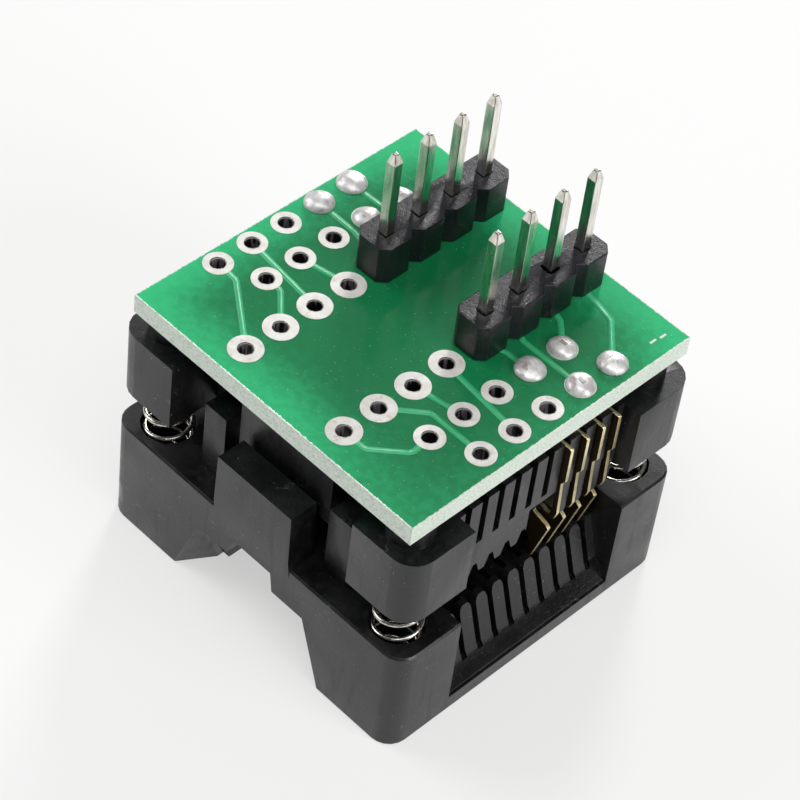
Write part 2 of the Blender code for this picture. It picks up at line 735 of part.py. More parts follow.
def contact_outline(side, place):
    """A stamped contact seen from its flat side: tail, arm, outer leg, then the spring with its lever."""
    tail = abs(tail_x(side, place))
    arm_low = CHANNEL_FLOOR + SIDE_CLEARANCE
    arm_high = arm_low + CONTACT_ARM_WIDTH
    corner = CONTACT_ARM_WIDTH / 5
    jog = BASE_BOTTOM + CONTACT_JOG_RISE
    inner = CONTACT_REACH - CONTACT_LEG_DEPTH
    bends = CURL_UNDER + LEVER + BLADE_UNDER + BLADE_TOP + CURL_TOP
    sprung = [(CONTACT_REACH - u * CONTACT_GRID, BASE_BOTTOM - v * CONTACT_GRID) for u, v in bends]
    points = [
        (tail + CONTACT_TAIL_WIDTH / 2, BOARD_TOP + CONTACT_TAIL_RISE),
        (tail + CONTACT_TAIL_WIDTH / 2, arm_high),
        (CONTACT_REACH - corner, arm_high),
        (CONTACT_REACH, arm_high - corner),
        (CONTACT_REACH, jog),
        (CONTACT_REACH - CONTACT_JOG_DEPTH, jog - CONTACT_JOG_HEIGHT),
        *sprung,
        (inner, jog - CONTACT_JOG_HEIGHT),
        (inner, arm_low),
        (tail - CONTACT_TAIL_WIDTH / 2, arm_low),
        (tail - CONTACT_TAIL_WIDTH / 2, BOARD_TOP + CONTACT_TAIL_RISE),
    ]
    return [(side * x, z) for x, z in points]


def make_contacts(parts, parent):
    for side_name, side in SIDES:
        for number, place in enumerate(FITTED_PLACES, 1):
            y = contact_y(place)
            contact = prism(
                f"contact_{side_name}_{number}",
                contact_outline(side, place),
                y - CONTACT_THICKNESS / 2,
                y + CONTACT_THICKNESS / 2,
                along="Y",
            )
            finish(contact, parts, GOLD, parent)


def board_holes():
    holes = []
    for _, side in SIDES:
        holes += [(side * HEADER_ROW_X, header_y(place)) for place in range(HOLES_PER_ROW)]
        holes += [(tail_x(side, place), contact_y(place)) for place in range(CONTACT_PLACES)]
    return holes


def make_board(parts, helpers, parent):
    board = box(
        "adapter_board",
        (BOARD_SHIFT_X - BOARD_X / 2, BOARD_SHIFT_Y - BOARD_Y / 2, BOARD_BOTTOM),
        (BOARD_SHIFT_X + BOARD_X / 2, BOARD_SHIFT_Y + BOARD_Y / 2, BOARD_TOP),
    )
    drills = [
        cylinder(
            "drill",
            HOLE_DIAMETER,
            centre,
            BOARD_BOTTOM - CUT_OVERRUN,
            BOARD_TOP + CUT_OVERRUN,
            HOLE_SEGMENTS,
        )
        for centre in board_holes()
    ]
    cut(board, helpers, merged("board_holes", drills))
    return finish(board, parts, BOARD_GREEN, parent)


def header_outline():
    """One eight-sided bead for each pin, run together at narrow necks."""
    half = HEADER_WIDTH / 2
    right = []
    for place in range(PINS_PER_HEADER):
        centre = (place - (PINS_PER_HEADER - 1) / 2) * PIN_PITCH
        low, high = centre - PIN_PITCH / 2, centre + PIN_PITCH / 2
        if place == 0:
            right.append((half - HEADER_CHAMFER, low))
        right += [(half, low + HEADER_CHAMFER), (half, high - HEADER_CHAMFER), (half - HEADER_CHAMFER, high)]
    return right + [(-x, y) for x, y in reversed(right)]


def make_headers(parts, helpers, parent):
    middle_y = sum(header_y(place) for place in PINNED_PLACES) / PINS_PER_HEADER
    for side_name, side in SIDES:
        x = side * HEADER_ROW_X
        low, high = BOARD_TOP + SEAT_GAP, BOARD_TOP + HEADER_HEIGHT
        outline = [(x + u, middle_y + v) for u, v in header_outline()]
        strip = prism(f"header_{side_name}", outline, low, high)
        half = PIN_WIDTH / 2 + PIN_CLEARANCE
        holes = [
            box(
                "pin_hole",
                (x - half, header_y(place) - half, low - CUT_OVERRUN),
                (x + half, header_y(place) + half, high + CUT_OVERRUN),
            )
            for place in PINNED_PLACES
        ]
        cut(strip, helpers, merged(f"pin_holes_{side_name}", holes))
        finish(strip, parts, HEADER_BLACK, parent)


def pin_profile():
    """A square pin, as a four-step turned profile: radii run to the corners."""
    to_corner = math.sqrt(2) / 2
    tip = BOARD_TOP + PIN_RISE
    tail = BASE_TOP + PIN_TAIL_GAP
    full, narrow = PIN_WIDTH * to_corner, PIN_TIP_WIDTH * to_corner
    return [
        (0, tip),
        (narrow, tip),
        (full, tip - PIN_TIP_LENGTH),
        (full, tail + PIN_TIP_LENGTH / 2),
        (narrow, tail),
        (0, tail),
    ]


def make_pins(parts, helpers, parent):
    for side_name, side in SIDES:
        for number, place in enumerate(PINNED_PLACES, 1):
            centre = (side * HEADER_ROW_X, header_y(place), 0)
            pin = turned(f"pin_{side_name}_{number}", pin_profile(), 4)
            pin.location = centre
            pin.rotation_euler.z = math.radians(45)
            finish(pin, parts, TIN, parent)
            make_pin_joint(f"pin_solder_{side_name}_{number}", centre, parts, helpers, parent)


def make_pin_joint(name, centre, parts, helpers, parent):
    """The solder cone round a pin under the board."""
    top = BOARD_BOTTOM - SEAT_GAP
    bottom = BOARD_BOTTOM - PIN_JOINT_HEIGHT
    half = PIN_WIDTH / 2 + PIN_CLEARANCE
    radius = JOINT_DIAMETER / 2
    throat = half * math.sqrt(2) + PIN_CLEARANCE
    profile = [
        (0, top),
        (radius, top),
        ((radius + throat) / 2 - PIN_CLEARANCE, (top + bottom) / 2),
        (throat, bottom),
        (0, bottom),
    ]
    joint = turned(name, profile, 12)
    joint.location = centre
    room = box(
        name + "_hole",
        (centre[0] - half, centre[1] - half, bottom - CUT_OVERRUN),
        (centre[0] + half, centre[1] + half, top + CUT_OVERRUN),
    )
    cut(joint, helpers, room)
    finish(joint, parts, SOLDER, parent, smooth=True)


def make_contact_joints(parts, helpers, parent):
    """The solder domes on the board, with the contact tails standing in them."""
    low = BOARD_TOP + SEAT_GAP
    steps = 4
    radius = JOINT_DIAMETER / 2
    dome = [
        (radius * math.sin(angle), low + JOINT_HEIGHT * math.cos(angle))
        for angle in [math.pi / 2 * i / steps for i in range(steps + 1)]
    ]
    dome[0] = (0, low + JOINT_HEIGHT)
    for side_name, side in SIDES:
        for number, place in enumerate(FITTED_PLACES, 1):
            x, y = tail_x(side, place), contact_y(place)
            name = f"tail_solder_{side_name}_{number}"
            joint = turned(name, dome + [(0, low)], 12)
            joint.location = (x, y, 0)
            half_x = CONTACT_TAIL_WIDTH / 2 + PIN_CLEARANCE
            half_y = CONTACT_THICKNESS / 2 + PIN_CLEARANCE
            slit = box(
                name + "_slit",
                (x - half_x, y - half_y, low - CUT_OVERRUN),
                (x + half_x, y + half_y, low + JOINT_HEIGHT + CUT_OVERRUN),
            )
            cut(joint, helpers, slit)
            finish(joint, parts, SOLDER, parent, smooth=True)


def coil_points(low, high):
    """A compression spring's centre line: a closed turn at each end and even turns between."""
    radius = (SPRING_DIAMETER - SPRING_WIRE) / 2
    per_turn = 9
    count = round(SPRING_TURNS * per_turn)
    low, high = low + SPRING_WIRE / 2, high - SPRING_WIRE / 2
    closed_rise = SPRING_WIRE * 1.15
    open_turns = SPRING_TURNS - 2 * SPRING_CLOSED_TURNS
    points = []
    for i in range(count + 1):
        turn = SPRING_TURNS * i / count
        if turn < SPRING_CLOSED_TURNS:
            z = low + closed_rise * turn / SPRING_CLOSED_TURNS
        elif turn > SPRING_TURNS - SPRING_CLOSED_TURNS:
            z = high - closed_rise * (SPRING_TURNS - turn) / SPRING_CLOSED_TURNS
        else:
            share = (turn - SPRING_CLOSED_TURNS) / open_turns
            z = low + closed_rise + share * (high - low - 2 * closed_rise)
        angle = 2 * math.pi * turn
        points.append((radius * math.cos(angle), radius * math.sin(angle), z))
    return points


def make_springs(parts, parent):
    low = COVER_HEIGHT - COVER_POCKET_DEPTH + SEAT_GAP
    high = BASE_BOTTOM + BASE_POCKET_DEPTH - SEAT_GAP
    names = {(-1, -1): "front_left", (1, -1): "front_right", (-1, 1): "back_left", (1, 1): "back_right"}
    turned_by = {"back_right": math.radians(90)}
    for (sx, sy), corner in names.items():
        curve = bpy.data.curves.new("spring_" + corner, "CURVE")
        curve.dimensions = "3D"
        curve.bevel_depth = SPRING_WIRE / 2
        curve.bevel_resolution = 1
        curve.use_fill_caps = True
        spline = curve.splines.new("POLY")
        points = coil_points(low, high)
        spline.points.add(len(points) - 1)
        for point, (x, y, z) in zip(spline.points, points):
            point.co = (x, y, z, 1)
        spring = bpy.data.objects.new("spring_" + corner, curve)
        spring.location = (sx * SPRING_X, sy * SPRING_Y, 0)
        spring.rotation_euler.z = turned_by.get(corner, 0)
        finish(spring, parts, SPRING_STEEL, parent)


def main():
    clear_scene()
    parts = new_collection("ic_programming_adapter")
    helpers = new_collection("cutters")
    fixed = bpy.data.objects.new("fixed_frame", None)
    sliding = bpy.data.objects.new("cover_slide", None)
    for empty in (fixed, sliding):
        parts.objects.link(empty)
    make_cover(parts, helpers, sliding)
    make_base(parts, helpers, fixed)
    make_contacts(parts, fixed)
    make_board(parts, helpers, fixed)
    make_headers(parts, helpers, fixed)
    make_pins(parts, helpers, fixed)
    make_contact_joints(parts, helpers, fixed)
    make_springs(parts, fixed)


main()
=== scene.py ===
# %% [markdown]
# # A programming adapter for small flat chips
# The adapter lies upside down: its press cover is on the table, its plug pins point up. The solids
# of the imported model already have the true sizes. This script gives them soft edges, solder, plated
# holes, tracks, wound springs and finishes, and then sets up a plain studio. Sizes are written in
# millimetres, and MM turns them into metres. Only the floor and the lamps are given in metres.

import math

import bmesh
import bpy
from mathutils import Matrix, Vector


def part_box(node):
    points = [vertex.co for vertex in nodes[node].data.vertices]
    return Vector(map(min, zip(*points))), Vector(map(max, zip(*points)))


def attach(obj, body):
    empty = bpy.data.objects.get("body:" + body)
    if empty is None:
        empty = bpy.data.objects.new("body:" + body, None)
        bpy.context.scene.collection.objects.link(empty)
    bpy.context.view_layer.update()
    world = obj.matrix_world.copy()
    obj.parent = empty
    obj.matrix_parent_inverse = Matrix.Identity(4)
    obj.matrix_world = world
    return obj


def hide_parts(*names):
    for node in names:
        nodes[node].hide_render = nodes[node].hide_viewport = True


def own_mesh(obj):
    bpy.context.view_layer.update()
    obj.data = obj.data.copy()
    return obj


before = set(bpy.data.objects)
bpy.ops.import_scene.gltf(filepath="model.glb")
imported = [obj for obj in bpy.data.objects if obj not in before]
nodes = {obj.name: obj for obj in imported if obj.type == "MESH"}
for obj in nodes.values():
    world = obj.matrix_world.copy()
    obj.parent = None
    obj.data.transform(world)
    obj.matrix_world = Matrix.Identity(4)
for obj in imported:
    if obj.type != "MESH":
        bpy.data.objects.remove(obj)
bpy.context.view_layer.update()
MM = 0.001
fixed_body, moving_body = "socket_on_board", "press_cover"

# %% [markdown]
# ## The camera comes first
# The photograph looks down on one corner of the adapter from 47 degrees above the table, through a
# long lens. A camera is a matrix whose columns are its right, its up, its back and its place, so
# the view is written down directly. Everything that follows can then be judged in the same view.

# %% Camera
LENS, SENSOR = 133.694, 36
EYE = Vector((72.557, -87.313, 133.067)) * MM
RIGHT = Vector((0.69593, 0.711807, 0.094934))
BACK = Vector((0.436087, -0.523941, 0.731652))
camera = bpy.data.objects.new("camera", bpy.data.cameras.new("camera"))
bpy.context.scene.collection.objects.link(camera)
turn = Matrix((RIGHT, BACK.cross(RIGHT), BACK)).transposed()
camera.matrix_world = Matrix.Translation(EYE) @ turn.to_4x4()
camera.data.lens, camera.data.sensor_width = LENS, SENSOR
camera.data.clip_start = 0.01
bpy.context.scene.camera = camera
print("camera is", round(EYE.length * 1000), "mm from the foot of the adapter")

# %% [markdown]
# ## Writing materials as sums
# A finish is a small graph of nodes. Wiring dozens of Math nodes by hand is hard to read, so one
# class wraps an output socket and lets Python's own operators add the nodes. `1 - grain * 0.3` then
# builds the graph that it says. Any other node comes from one method, which sets its options first
# and its sockets after that.


# %% Sockets that understand sums
class Wire:
    """An output socket. Python's operators on it add Math nodes."""

    def __init__(self, finish, socket):
        self.finish = finish
        self.socket = socket

    def math(self, operation, *values):
        return self.finish.node("Math", {"operation": operation}, dict(enumerate(values)))

    def __add__(self, other):
        return self.math("ADD", self, other)

    def __sub__(self, other):
        return self.math("SUBTRACT", self, other)

    def __rsub__(self, other):
        return self.math("SUBTRACT", other, self)

    def __mul__(self, other):
        return self.math("MULTIPLY", self, other)

    def __lt__(self, other):
        return self.math("LESS_THAN", self, other)

    def __abs__(self):
        return self.math("ABSOLUTE", self)

    def largest(self, other):
        return self.math("MAXIMUM", self, other)

    def between(self, low, high):
        """0 below low, 1 above high, and a smooth rise from one to the other."""
        ramp = {"interpolation_type": "SMOOTHSTEP"}
        return self.finish.node("MapRange", ramp, {0: self, 1: low, 2: high, 3: 0.0, 4: 1.0})

    __radd__ = __add__
    __rmul__ = __mul__


class Finish:
    """A material with one Principled shader, and the method that adds any other node."""

    def __init__(self, name, **constants):
        self.material = bpy.data.materials.new(name)
        self.material.use_nodes = True
        self.tree = self.material.node_tree
        self.shader = self.tree.nodes["Principled BSDF"]
        for socket, value in constants.items():
            self.shader.inputs[socket.replace("_", " ")].default_value = value
        self.place = self.node("TexCoord", {}, {}, out="Object")

    def node(self, kind, options, values, out=0):
        made = self.tree.nodes.new("ShaderNode" + kind)
        stops = options.pop("stops", None)
        for option, value in options.items():
            setattr(made, option, value)
        for index, (position, colour) in enumerate(stops or []):
            elements = made.color_ramp.elements
            stop = elements[index] if index < 2 else elements.new(position)
            stop.position, stop.color = position, (*colour, 1)
        for socket, value in values.items():
            self.plug(made.inputs[socket], value)
        return Wire(self, made.outputs[out])

    def plug(self, socket, value):
        if isinstance(value, Wire):
            self.tree.links.new(value.socket, socket)
        elif isinstance(value, tuple) and len(value) == 3 and socket.type == "RGBA":
            socket.default_value = (*value, 1)
        else:
            socket.default_value = value

    def axis(self, letter):
        """Object coordinate x, y or z in millimetres."""
        split = self.node("SeparateXYZ", {}, {0: self.place}, out="XYZ".index(letter.upper()))
        return split * 1000

    def grain(self, size, detail=2.0, stretch=(1, 1, 1), rough=0.5):
        """Noise from 0 to 1, mostly near 0.5, with blotches about size millimetres across."""
        scaled = self.node("Mapping", {}, {0: self.place, 3: stretch})
        values = {"Vector": scaled, "Scale": 1000 / size, "Detail": detail, "Roughness": rough}
        return self.node("TexNoise", {}, values)

    def mix(self, share, first, second):
        return self.node("Mix", {"data_type": "RGBA"}, {0: share, 6: first, 7: second}, out=2)

    def bump(self, height, depth, strength=1.0, below=None):
        """Relief whose height of 1 stands depth millimetres out."""
        values = {"Height": height, "Distance": depth * MM, "Strength": strength}
        if below:
            values["Normal"] = below
        return self.node("Bump", {}, values, out="Normal")

    def wear(self, **links):
        for socket, value in links.items():
            self.plug(self.shader.inputs[socket.replace("_", " ")], value)
        return self.material


print("materials can be written as sums")

# %% [markdown]
# ## Black mouldings
# The cover and the base are injection moulded in a black, glass-filled plastic. It is never one
# flat black: the skin is faintly mottled, flow leaves cloudy patches, and a little pale dust and a
# few fine scratches lie on it. The ramp under the cover's comb came off a polished part of the
# mould, so it is smoother, and painted shade makes it darker. The header strips are the same kind
# of plastic, cheaper and rougher.


# %% Moulded plastic
JET = (0.004, 0.004, 0.005)
DUST = (0.62, 0.60, 0.57)
RAMP_INNER, RAMP_OUTER = (10.60, 10.66), (11.50, 11.54)
RAMP_FOOT, RAMP_KNEE = (1.12, 1.16), (2.25, 2.70)


def moulded(name, dark, pale, gloss, relief_depth, dust_share, smooth_shaded_ramp=False):
    finish = Finish(name, Specular_IOR_Level=0.55, IOR=1.5)
    cloud = finish.grain(2.6, detail=3)
    mottle = finish.grain(0.32, detail=3, rough=0.6)
    pores = finish.grain(0.09, detail=2)
    flow = finish.grain(0.5, detail=3, stretch=(1, 1, 0.12)).between(0.54, 0.70)
    tone = cloud.between(0.35, 0.68) * 0.5 + mottle.between(0.38, 0.66) * 0.35 + flow * 0.3
    dust = (finish.grain(0.11, detail=1) - dust_share).between(0, 0.03)
    patch = finish.grain(2.1, detail=1).between(0.50, 0.66)
    line = 1 - abs(finish.grain(1.3, detail=2) - 0.5).between(0.0025, 0.006)
    scratch = line * finish.grain(1.9, detail=1).between(0.56, 0.64)
    specks = (dust * patch).largest(scratch * 0.18)
    colour = finish.mix(specks * 0.7, finish.mix(tone, dark, pale), DUST)
    relief = mottle * 0.6 + pores * 0.4
    rough = gloss + mottle * 0.12 + cloud.between(0.3, 0.7) * 0.10 + flow * 0.08
    rough = rough + specks * 0.25
    if smooth_shaded_ramp:
        x, z = abs(finish.axis("x")), finish.axis("z")
        deep_in = x.between(*RAMP_INNER) * (1 - x.between(*RAMP_OUTER))
        on_ramp = deep_in * z.between(*RAMP_FOOT) * (1 - z.between(*RAMP_KNEE))
        rough = rough * (1 - on_ramp * 0.55)
        # Painted shade: the ramp's colour is pulled half way to the darkest black.
        colour = finish.mix(on_ramp * 0.5, colour, dark)
    return finish.wear(Base_Color=colour, Roughness=rough, Normal=finish.bump(relief, relief_depth))


cover_plastic = moulded(
    "black_cover_plastic",
    dark=JET,
    pale=(0.015, 0.015, 0.016),
    gloss=0.24,
    relief_depth=0.018,
    dust_share=0.735,
    smooth_shaded_ramp=True,
)
base_plastic = moulded(
    "black_base_plastic",
    dark=JET,
    pale=(0.016, 0.016, 0.017),
    gloss=0.25,
    relief_depth=0.018,
    dust_share=0.735,
)
header_plastic = moulded(
    "black_header_plastic",
    dark=(0.003, 0.003, 0.005),
    pale=(0.017, 0.016, 0.023),
    gloss=0.28,
    relief_depth=0.040,
    dust_share=0.73,
)
print("three black plastics")

# %% [markdown]
# ## The board's lacquer and its cut edge
# The board is glass-fibre laminate under a clear green lacquer. The lacquer is slightly wavy and
# glossy enough to mirror the header strips. Its colour carries painted light: deep green in the
# middle of the board, and lighter towards the outline as if light came in through the laminate from
# the side. It is lighter again at the back, the left and the front, with painted shade on the right.
# Where the board was cut, the lacquer stops just short of the edge and the pale laminate shows,
# with brown ends of fibre. The distance to the outline, worked out from Object coordinates, tells
# the two apart. Two short white dashes mark one corner.

# %% Green lacquer and pale laminate
BOARD_LOW, BOARD_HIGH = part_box("adapter_board")
BOARD_MIDDLE, BOARD_HALF = (BOARD_LOW + BOARD_HIGH) / 2, (BOARD_HIGH - BOARD_LOW) / 2
BOARD_TOP, BOARD_BOTTOM = BOARD_HIGH.z / MM, BOARD_LOW.z / MM
DASHES = ((9.79, 8.73), (9.87, 9.45))
DASH_WIDTH, DASH_LENGTH = 0.14, 0.48
# Lacquer colours in painted shade and in painted light, for the board and for the tracks over copper.
SHADED_GREEN, LIT_GREEN = (0.006, 0.190, 0.064), (0.036, 0.560, 0.225)
SHADED_TRACK, LIT_TRACK = (0.040, 0.450, 0.185), (0.120, 0.720, 0.380)
DUST_ON_GREEN, WHITE_MARK = (0.75, 0.85, 0.75), (0.80, 0.84, 0.80)
FIBRE_STOPS = [
    (0.24, (0.30, 0.30, 0.20)),
    (0.34, (0.62, 0.72, 0.60)),
    (0.60, (0.84, 0.92, 0.84)),
]


def lacquered(name, deep, light, edge):
    # deep is the colour in painted shade, and light is the colour in painted light.
    finish = Finish(name, Specular_IOR_Level=0.5)
    haze = finish.grain(7.0, detail=2)
    weave = finish.grain(0.55, detail=2)
    wave = finish.grain(1.6, detail=1)
    speck = (finish.grain(0.10, detail=1) - 0.75).between(0, 0.02)
    inset_x = BOARD_HALF.x / MM - abs(finish.axis("x") - BOARD_MIDDLE.x / MM)
    inset_y = BOARD_HALF.y / MM - abs(finish.axis("y") - BOARD_MIDDLE.y / MM)
    inset = inset_x * (inset_x < inset_y) + inset_y * (1 - (inset_x < inset_y))
    # Painted light: the lacquer is painted lighter towards the outline, as if light came in through
    # the laminate from the side.
    glow = 1 - (inset + haze * 2 - 1).between(-0.5, 4.5)
    # Painted light at the left, the back and the front. Painted shade on the right dims the rim's
    # painted light there.
    painted_left_light = (finish.axis("x") * -1).between(7, 11) * 0.22
    painted_back_light = finish.axis("y").between(5, 11)
    painted_right_shade = finish.axis("x").between(2, 8) * (1 - painted_back_light)
    painted_front_light = (finish.axis("y") * -1).between(5, 11)
    # The tone is painted light and shade, with random haze and weave on top.
    tone = glow * (0.52 - painted_right_shade * 0.30) + painted_left_light + (painted_back_light * 1.6 + painted_front_light * 0.6) * 0.25
    tone = tone + haze * 0.2 - 0.10 + weave.between(0.35, 0.65) * 0.10
    colour = finish.mix(tone.between(0, 1), deep, light)
    colour = finish.mix(speck * 0.55, colour, DUST_ON_GREEN)
    rough = (0.12 if edge else 0.34) + haze * 0.06
    relief = finish.bump(wave, 0.012)
    if edge:
        ragged = (finish.grain(0.25, detail=3) - 0.5) * 0.16
        bare = 1 - (inset + ragged).between(0.03, 0.09)
        fibre = finish.grain(0.16, detail=3, stretch=(1, 1, 2.2))
        laminate = finish.node("ValToRGB", {"stops": FIBRE_STOPS}, {0: fibre})
        colour = finish.mix(bare, colour, laminate)
        for x, y in DASHES:
            off_x, off_y = abs(finish.axis("x") - x), abs(finish.axis("y") - y)
            on_dash = (off_x < DASH_WIDTH / 2) * (off_y < DASH_LENGTH / 2)
            colour = finish.mix(on_dash, colour, WHITE_MARK)
        rough = rough + bare * 0.35
        relief = finish.bump(fibre * bare, 0.02, below=relief)
    return finish.wear(Base_Color=colour, Roughness=rough, Normal=relief)


board_lacquer = lacquered("green_board_lacquer", SHADED_GREEN, LIT_GREEN, edge=True)
track_lacquer = lacquered("lacquer_over_copper", SHADED_TRACK, LIT_TRACK, edge=False)
print("lacquer, and its paler tone over copper")

# %% [markdown]
# ## Metals
# Four metals show: tin on the pads and pins, solder, gold plate on the contacts, and the bright
# wire of the springs. A metal's colour is all in its reflection, so most of the work is in how
# rough it is and in which direction it was drawn or stamped. The pins get streaks along their
# length, the solder gets ripples.


# %% Tin, solder, gold and spring wire
def metal(name, dull, bright, rough, size, depth, stretch=(1, 1, 1), spots=None, sheen=1.0):
    finish = Finish(name, Metallic=sheen)
    cloud = finish.grain(size, detail=3, stretch=stretch)
    fine = finish.grain(size / 4, detail=2, stretch=stretch)
    colour = finish.mix(cloud.between(0.3, 0.7), dull, bright)
    if spots:
        mark = (finish.grain(size * 1.7, detail=2) - 0.60).between(0, 0.08)
        colour = finish.mix(mark * 0.75, colour, spots)
    return finish.wear(
        Base_Color=colour,
        Roughness=rough + cloud * 0.12 + fine * 0.08,
        Normal=finish.bump(cloud * 0.7 + fine * 0.3, depth),
    )


solder = metal(
    "solder",
    dull=(0.74, 0.71, 0.71),
    bright=(0.97, 0.96, 0.95),
    rough=0.30,
    size=0.36,
    depth=0.035,
    spots=(0.44, 0.38, 0.36),
    sheen=0.45,
)
pin_tin = metal(
    "tinned_pin",
    dull=(0.60, 0.57, 0.50),
    bright=(0.90, 0.88, 0.83),
    rough=0.12,
    size=0.20,
    depth=0.006,
    stretch=(1, 1, 0.12),
)
spring_wire = metal(
    "bright_spring_wire",
    dull=(0.46, 0.43, 0.38),
    bright=(0.82, 0.80, 0.75),
    rough=0.14,
    size=0.12,
    depth=0.003,
)
print("three plain metals")


# %% Pads that are bright on both faces, with painted shade and glints down the hole
PAD_TIN = ((0.74, 0.72, 0.67), (0.86, 0.85, 0.81))
PAD_STAIN = (0.50, 0.42, 0.36)
# Painted shade down the hole, and the painted glint that streaks it.
HOLE_SHADE_AND_GLINT = ((0.010, 0.007, 0.008), (0.20, 0.18, 0.20))


def tinned_pad(name):
    finish = Finish(name, Metallic=0.2)
    cloud = finish.grain(0.6, detail=3)
    fine = finish.grain(0.14, detail=2)
    face = finish.mix(cloud.between(0.3, 0.7), *PAD_TIN)
    stain = (finish.grain(0.5, detail=2) - 0.63).between(0, 0.06)
    face = finish.mix(stain * 0.35, face, PAD_STAIN)
    # Painted shade on the hole's wall, crossed by painted glints.
    painted_glint = finish.grain(0.26, detail=1, stretch=(1, 1, 0.12)).between(0.53, 0.57)
    wall = finish.mix(painted_glint, *HOLE_SHADE_AND_GLINT)
    level = finish.axis("z")
    under_top = 1 - level.between(BOARD_TOP - 0.10, BOARD_TOP - 0.01)
    inside = under_top * level.between(BOARD_BOTTOM, BOARD_BOTTOM + 0.08)
    return finish.wear(
        Base_Color=finish.mix(inside, face, wall),
        Roughness=0.34 + cloud * 0.14 + fine * 0.08,
        Normal=finish.bump(cloud * 0.6 + fine * 0.4, 0.008),
    )


pad_tin = tinned_pad("tinned_pad")
print("tinned pads with dark holes")


# %% Gold plate that turns to tin in the solder
GOLD = ((0.88, 0.71, 0.35), (1.0, 0.90, 0.58))
# Painted shade for the strips' broad flats.
PAINTED_FLAT_SHADE = (0.060, 0.040, 0.018)
TINNED_TAIL = (0.55, 0.52, 0.48)


def plated_strip(name):
    """Gold with painted shade on the broad flats that face along y, so they are darker than the
    narrow edges, with tinned tails.
    """
    finish = Finish(name, Metallic=0.8)
    cloud = finish.grain(0.35, detail=3)
    normal = finish.node("NewGeometry", {}, {}, out="Normal")
    across = abs(finish.node("SeparateXYZ", {}, {0: normal}, out=1))
    # Painted shade: faces turned along y take the dark colour.
    flat = across.between(0.6, 0.9)
    gold = finish.mix(cloud.between(0.3, 0.7), *GOLD)
    gold = finish.mix(flat, gold, PAINTED_FLAT_SHADE)
    tinned = finish.axis("z").between(BOARD_TOP - 0.6, BOARD_TOP - 0.3)
    colour = finish.mix(tinned, gold, TINNED_TAIL)
    return finish.wear(
        Base_Color=colour,
        Roughness=0.26 + cloud * 0.10 + flat * 0.12,
        Normal=finish.bump(cloud, 0.003),
    )


gold_strip = plated_strip("gold_plated_strip")
print("gold strip with tinned tails")

# %% [markdown]
# ## Soft edges on the moulded and cut pieces
# A real edge always has a small radius, and it is that radius which catches the light. The solids
# are exact, so their edges are knife-sharp. A copy of each solid is merged, its flat faces are
# joined up, and a narrow Bevel rounds every edge sharper than 40 degrees. The copy then stands in
# for the solid it came from. The solder under the pins keeps its solid and only takes its finish.


# %% Copy a solid and soften its edges
MERGE_WITHIN, FLAT_WITHIN = 0.002, 0.5
SHADE_SHARP_FROM, BEVEL_FROM = 30, 40


def add_piece(name, mesh, body, material, slot, *replaced):
    piece = bpy.data.objects.new(name, mesh)
    bpy.context.scene.collection.objects.link(piece)
    mesh.materials.clear()
    mesh.materials.append(material)
    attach(piece, body)
    if replaced:
        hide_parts(*replaced)
    return piece


def softened(name, source, radius, steps):
    """A mesh copy of one CAD node with its sharp edges rounded to a radius in millimetres."""
    shape = bmesh.new()
    shape.from_mesh(nodes[source].data)
    bmesh.ops.remove_doubles(shape, verts=shape.verts, dist=MERGE_WITHIN * MM)
    bmesh.ops.dissolve_limit(
        shape, angle_limit=math.radians(FLAT_WITHIN), verts=shape.verts, edges=shape.edges
    )
    mesh = bpy.data.meshes.new(name)
    shape.to_mesh(mesh)
    shape.free()
    mesh.shade_smooth()
    mesh.set_sharp_from_angle(angle=math.radians(SHADE_SHARP_FROM))
    draft = bpy.data.objects.new(name + "_draft", mesh)
    bpy.context.scene.collection.objects.link(draft)
    bevel = draft.modifiers.new("soft_edges", "BEVEL")
    bevel.width, bevel.segments = radius * MM, steps
    bevel.limit_method, bevel.angle_limit = "ANGLE", math.radians(BEVEL_FROM)
    bevel.miter_outer = "MITER_ARC"
    bevel.harden_normals = True
    graph = bpy.context.evaluated_depsgraph_get()
    done = bpy.data.meshes.new_from_object(draft.evaluated_get(graph))
    bpy.data.objects.remove(draft)
    done.name = name
    return done


def soft_copy(node, name, radius, body, material, slot, steps=2):
    """Dresses one CAD node with its softened copy."""
    add_piece(name, softened(name, node, radius, steps), body, material, slot, node)


# %% Soften the mouldings, the board and the pins
SIDES = ("left", "right")
HEADERS = [f"header_{side}" for side in SIDES]
PINS = [f"pin_{side}_{number}" for side in SIDES for number in range(1, 5)]
CONTACTS = [f"contact_{side}_{number}" for side in SIDES for number in range(1, 5)]

soft_copy("cover", "cover_moulding", 0.07, moving_body, cover_plastic, "moulding")
soft_copy("socket_base", "base_moulding", 0.06, fixed_body, base_plastic, "moulding")
soft_copy("adapter_board", "board_laminate", 0.06, fixed_body, board_lacquer, "board")
for header in HEADERS:
    soft_copy(header, header + "_strip", 0.09, fixed_body, header_plastic, "header_plastic")
for pin in PINS:
    soft_copy(pin, pin + "_wire", 0.05, fixed_body, pin_tin, "pin")
for contact in CONTACTS:
    soft_copy(contact, contact + "_strip", 0.02, fixed_body, gold_strip, "contact", steps=1)
for name in nodes:
    if name.startswith("pin_solder"):
        nodes[name].data.materials.clear()
        nodes[name].data.materials.append(solder)
print("softened:", 3 + len(HEADERS) + len(PINS) + len(CONTACTS), "pieces")

# %% [markdown]
# ## Places on the board
# Two grids meet on the board: the plug's holes stand 2.54 mm apart in two rows, and the socket's
# holes stand 1.27 mm apart in four staggered rows. Every pad, joint and track below takes its place
# from these two rules.

